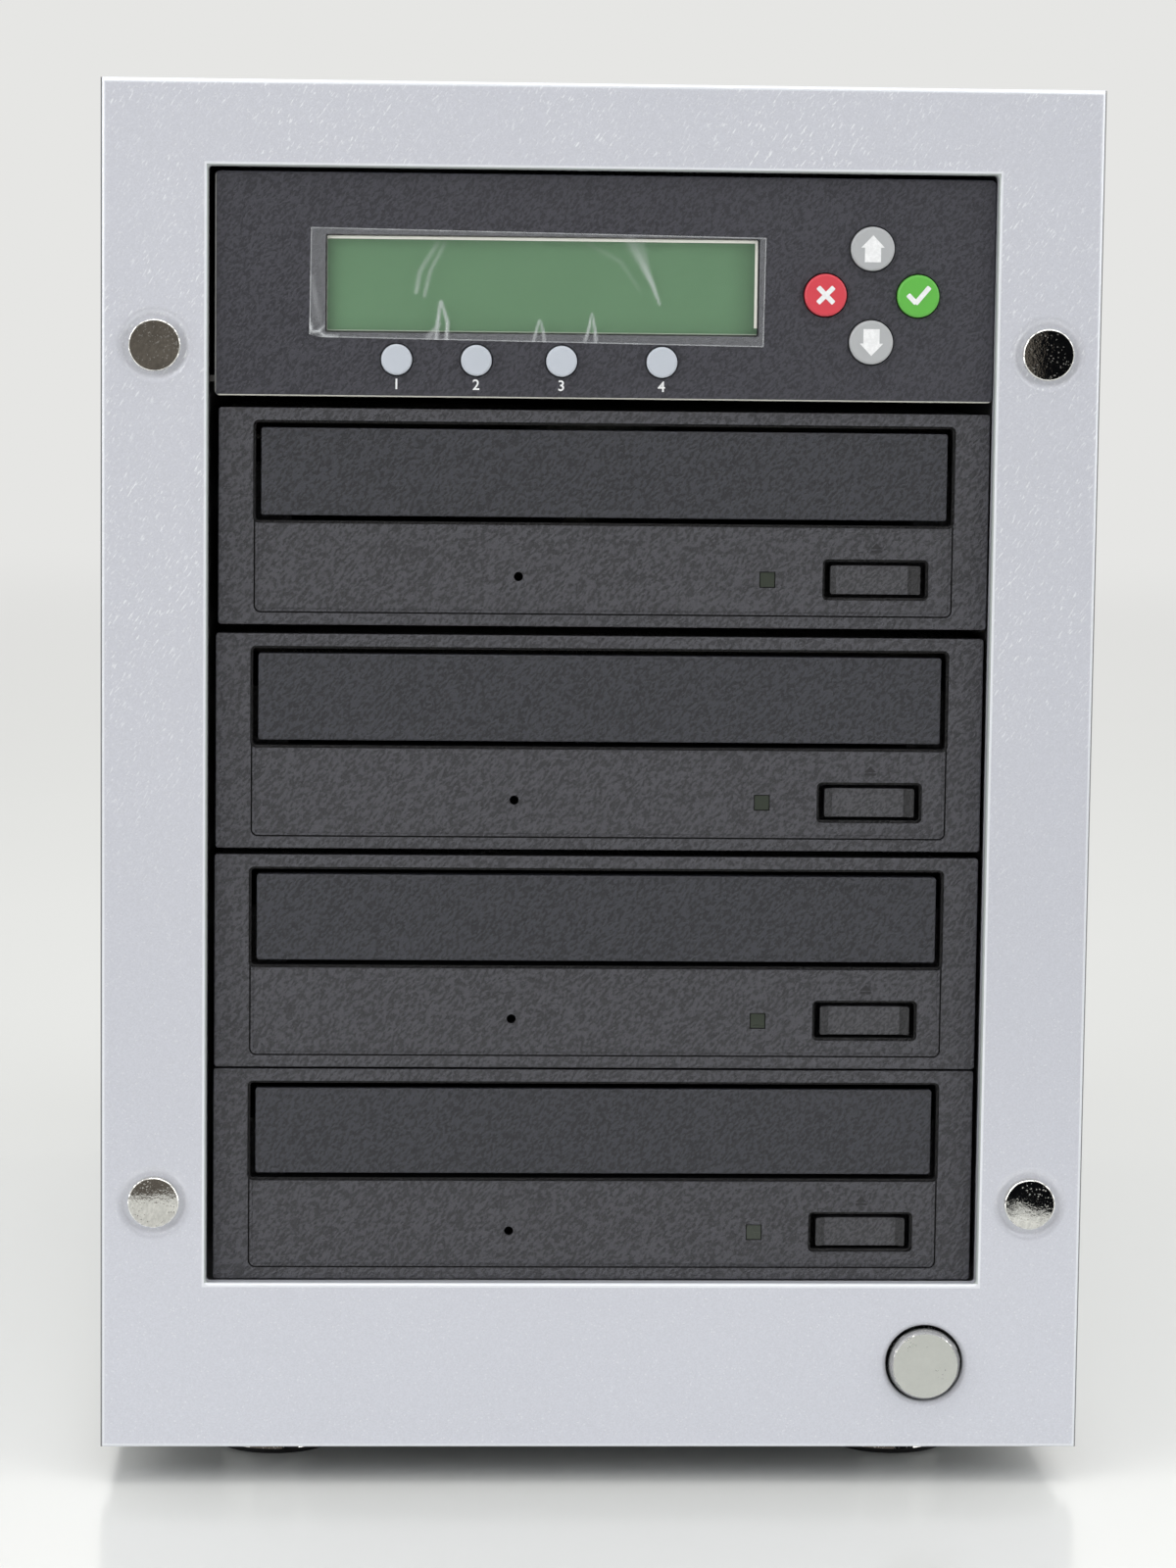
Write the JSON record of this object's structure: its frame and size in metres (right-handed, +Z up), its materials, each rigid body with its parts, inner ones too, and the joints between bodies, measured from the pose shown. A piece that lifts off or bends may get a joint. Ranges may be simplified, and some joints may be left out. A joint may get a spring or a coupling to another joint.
{
  "type": "disc duplicator tower",
  "caption": "Upright steel disc duplicator tower with a control panel above stacked disc drives, chrome power button and round feet.",
  "frame": {"origin": "centre of the tower's footprint on the floor", "axes": "+X to the right seen from the front, +Y towards the rear, +Z up; the drives face -Y"},
  "size_m": [0.1912, 0.3544, 0.2717],
  "materials": {
    "silver_paint": "fine metallic powder coat, slight orange peel",
    "cover_paint": "textured silver grey powder coat",
    "chrome": "polished plating",
    "zinc_sheet": "zinc plated folded sheet",
    "case_steel": "bright rolled sheet",
    "screw_steel": "bright zinc",
    "rubber": "matt",
    "bezel_plastic": "spark eroded grain",
    "tray_plastic": "fine grain",
    "button_plastic": "fine grain",
    "deck_plastic": "moulded",
    "motor_metal": "turned",
    "sled_metal": "die cast",
    "lamp_clear": "tinted lens",
    "panel_plastic": "fine grain",
    "key_grey": "smooth",
    "key_red": "smooth",
    "key_green": "smooth",
    "key_pale": "smooth",
    "display_green": "display glass",
    "clear_film": "creased clear film",
    "board_green": "lacquered board",
    "fan_plastic": "moulded",
    "wire_chrome": "plated wire",
    "fitting_plastic": "moulded",
    "rocker_plastic": "smooth",
    "cable_sheath": "cable sheath"
  },
  "bodies": {
    "tower": {"front_panel": "silver_paint", "panel_bolts": "chrome", "chassis_base": "zinc_sheet", "rear_panel": "zinc_sheet", "cover": "cover_paint", "drive_cage": "zinc_sheet", "case_screws": "screw_steel", "foot_cups": "chrome", "foot_pads": "rubber", "drive_case_1": "case_steel", "drive_bezel_1": "bezel_plastic", "drive_case_2": "case_steel", "drive_bezel_2": "bezel_plastic", "drive_case_3": "case_steel", "drive_bezel_3": "bezel_plastic", "drive_case_4": "case_steel", "drive_bezel_4": "bezel_plastic", "drive_decks": "deck_plastic", "drive_lamps": "lamp_clear", "control_bezel": "panel_plastic", "display_module": "display_green", "display_film": "clear_film", "key_board": "board_green", "control_board": "board_green", "button_housing": "fitting_plastic", "supply_case": "zinc_sheet", "supply_board": "board_green", "mains_fittings": "fitting_plastic", "fan_frames": "fan_plastic", "fan_grilles": "wire_chrome", "inner_cables": "cable_sheath"},
    "tray_1": {"drive_tray_1": "tray_plastic"},
    "eject_1": {"eject_button_1": "button_plastic"},
    "spindle_1": {"drive_spindle_1": "motor_metal"},
    "sled_1": {"pickup_sled_1": "sled_metal"},
    "tray_2": {"drive_tray_2": "tray_plastic"},
    "eject_2": {"eject_button_2": "button_plastic"},
    "spindle_2": {"drive_spindle_2": "motor_metal"},
    "sled_2": {"pickup_sled_2": "sled_metal"},
    "tray_3": {"drive_tray_3": "tray_plastic"},
    "eject_3": {"eject_button_3": "button_plastic"},
    "spindle_3": {"drive_spindle_3": "motor_metal"},
    "sled_3": {"pickup_sled_3": "sled_metal"},
    "tray_4": {"drive_tray_4": "tray_plastic"},
    "eject_4": {"eject_button_4": "button_plastic"},
    "spindle_4": {"drive_spindle_4": "motor_metal"},
    "sled_4": {"pickup_sled_4": "sled_metal"},
    "key_up_cap": {"key_up": "key_grey"},
    "key_down_cap": {"key_down": "key_grey"},
    "key_cancel_cap": {"key_cancel": "key_red"},
    "key_confirm_cap": {"key_confirm": "key_green"},
    "key_1_cap": {"key_1": "key_pale"},
    "key_2_cap": {"key_2": "key_pale"},
    "key_3_cap": {"key_3": "key_pale"},
    "key_4_cap": {"key_4": "key_pale"},
    "power_cap": {"power_button": "chrome"},
    "rocker": {"power_rocker": "rocker_plastic"},
    "supply_rotor": {"supply_fan_rotor": "fan_plastic"},
    "case_rotor": {"case_fan_rotor": "fan_plastic"}
  },
  "joints": [
    {"name": "tray_1_slide", "type": "slide", "parent": "tower", "child": "tray_1", "axis": [0, -1, 0], "range_m": [0, 0.133]},
    {"name": "eject_1_press", "type": "slide", "parent": "tower", "child": "eject_1", "axis": [0, 1, 0], "range_m": [0, 0.0008], "stiffness_N_per_m": 800, "springref_m": -0.0005},
    {"name": "spindle_1_spin", "type": "hinge", "parent": "tower", "child": "spindle_1", "pos_m": [0.00015, -0.1022, 0.068], "axis": [0, 0, 1], "continuous": true},
    {"name": "sled_1_slide", "type": "slide", "parent": "tower", "child": "sled_1", "axis": [0, 1, 0], "range_m": [0, 0.034]},
    {"name": "tray_2_slide", "type": "slide", "parent": "tower", "child": "tray_2", "axis": [0, -1, 0], "range_m": [0, 0.133]},
    {"name": "eject_2_press", "type": "slide", "parent": "tower", "child": "eject_2", "axis": [0, 1, 0], "range_m": [0, 0.0008], "stiffness_N_per_m": 800, "springref_m": -0.0005},
    {"name": "spindle_2_spin", "type": "hinge", "parent": "tower", "child": "spindle_2", "pos_m": [0.00025, -0.1022, 0.10985], "axis": [0, 0, 1], "continuous": true},
    {"name": "sled_2_slide", "type": "slide", "parent": "tower", "child": "sled_2", "axis": [0, 1, 0], "range_m": [0, 0.034]},
    {"name": "tray_3_slide", "type": "slide", "parent": "tower", "child": "tray_3", "axis": [0, -1, 0], "range_m": [0, 0.133]},
    {"name": "eject_3_press", "type": "slide", "parent": "tower", "child": "eject_3", "axis": [0, 1, 0], "range_m": [0, 0.0008], "stiffness_N_per_m": 800, "springref_m": -0.0005},
    {"name": "spindle_3_spin", "type": "hinge", "parent": "tower", "child": "spindle_3", "pos_m": [0.0004, -0.1022, 0.1526], "axis": [0, 0, 1], "continuous": true},
    {"name": "sled_3_slide", "type": "slide", "parent": "tower", "child": "sled_3", "axis": [0, 1, 0], "range_m": [0, 0.034]},
    {"name": "tray_4_slide", "type": "slide", "parent": "tower", "child": "tray_4", "axis": [0, -1, 0], "range_m": [0, 0.133]},
    {"name": "eject_4_press", "type": "slide", "parent": "tower", "child": "eject_4", "axis": [0, 1, 0], "range_m": [0, 0.0008], "stiffness_N_per_m": 800, "springref_m": -0.0005},
    {"name": "spindle_4_spin", "type": "hinge", "parent": "tower", "child": "spindle_4", "pos_m": [0.0008, -0.1022, 0.19585], "axis": [0, 0, 1], "continuous": true},
    {"name": "sled_4_slide", "type": "slide", "parent": "tower", "child": "sled_4", "axis": [0, 1, 0], "range_m": [0, 0.034]},
    {"name": "key_up_press", "type": "slide", "parent": "tower", "child": "key_up_cap", "axis": [0, 1, 0], "range_m": [0, 0.0006], "stiffness_N_per_m": 1200, "springref_m": -0.0004},
    {"name": "key_down_press", "type": "slide", "parent": "tower", "child": "key_down_cap", "axis": [0, 1, 0], "range_m": [0, 0.0006], "stiffness_N_per_m": 1200, "springref_m": -0.0004},
    {"name": "key_cancel_press", "type": "slide", "parent": "tower", "child": "key_cancel_cap", "axis": [0, 1, 0], "range_m": [0, 0.0006], "stiffness_N_per_m": 1200, "springref_m": -0.0004},
    {"name": "key_confirm_press", "type": "slide", "parent": "tower", "child": "key_confirm_cap", "axis": [0, 1, 0], "range_m": [0, 0.0006], "stiffness_N_per_m": 1200, "springref_m": -0.0004},
    {"name": "key_1_press", "type": "slide", "parent": "tower", "child": "key_1_cap", "axis": [0, 1, 0], "range_m": [0, 0.0006], "stiffness_N_per_m": 1200, "springref_m": -0.0004},
    {"name": "key_2_press", "type": "slide", "parent": "tower", "child": "key_2_cap", "axis": [0, 1, 0], "range_m": [0, 0.0006], "stiffness_N_per_m": 1200, "springref_m": -0.0004},
    {"name": "key_3_press", "type": "slide", "parent": "tower", "child": "key_3_cap", "axis": [0, 1, 0], "range_m": [0, 0.0006], "stiffness_N_per_m": 1200, "springref_m": -0.0004},
    {"name": "key_4_press", "type": "slide", "parent": "tower", "child": "key_4_cap", "axis": [0, 1, 0], "range_m": [0, 0.0006], "stiffness_N_per_m": 1200, "springref_m": -0.0004},
    {"name": "power_press", "type": "slide", "parent": "tower", "child": "power_cap", "axis": [0, 1, 0], "range_m": [0, 0.002], "stiffness_N_per_m": 500, "springref_m": -0.001},
    {"name": "rocker_tip", "type": "hinge", "parent": "tower", "child": "rocker", "pos_m": [0.045, 0.1708, 0.2032], "axis": [0, 0, 1], "range_deg": [0, 18]},
    {"name": "supply_fan_spin", "type": "hinge", "parent": "tower", "child": "supply_rotor", "pos_m": [-0.022, 0.1714, 0.2192], "axis": [0, 1, 0], "continuous": true},
    {"name": "case_fan_spin", "type": "hinge", "parent": "tower", "child": "case_rotor", "pos_m": [0, 0.1724, 0.092], "axis": [0, 1, 0], "continuous": true}
  ]
}
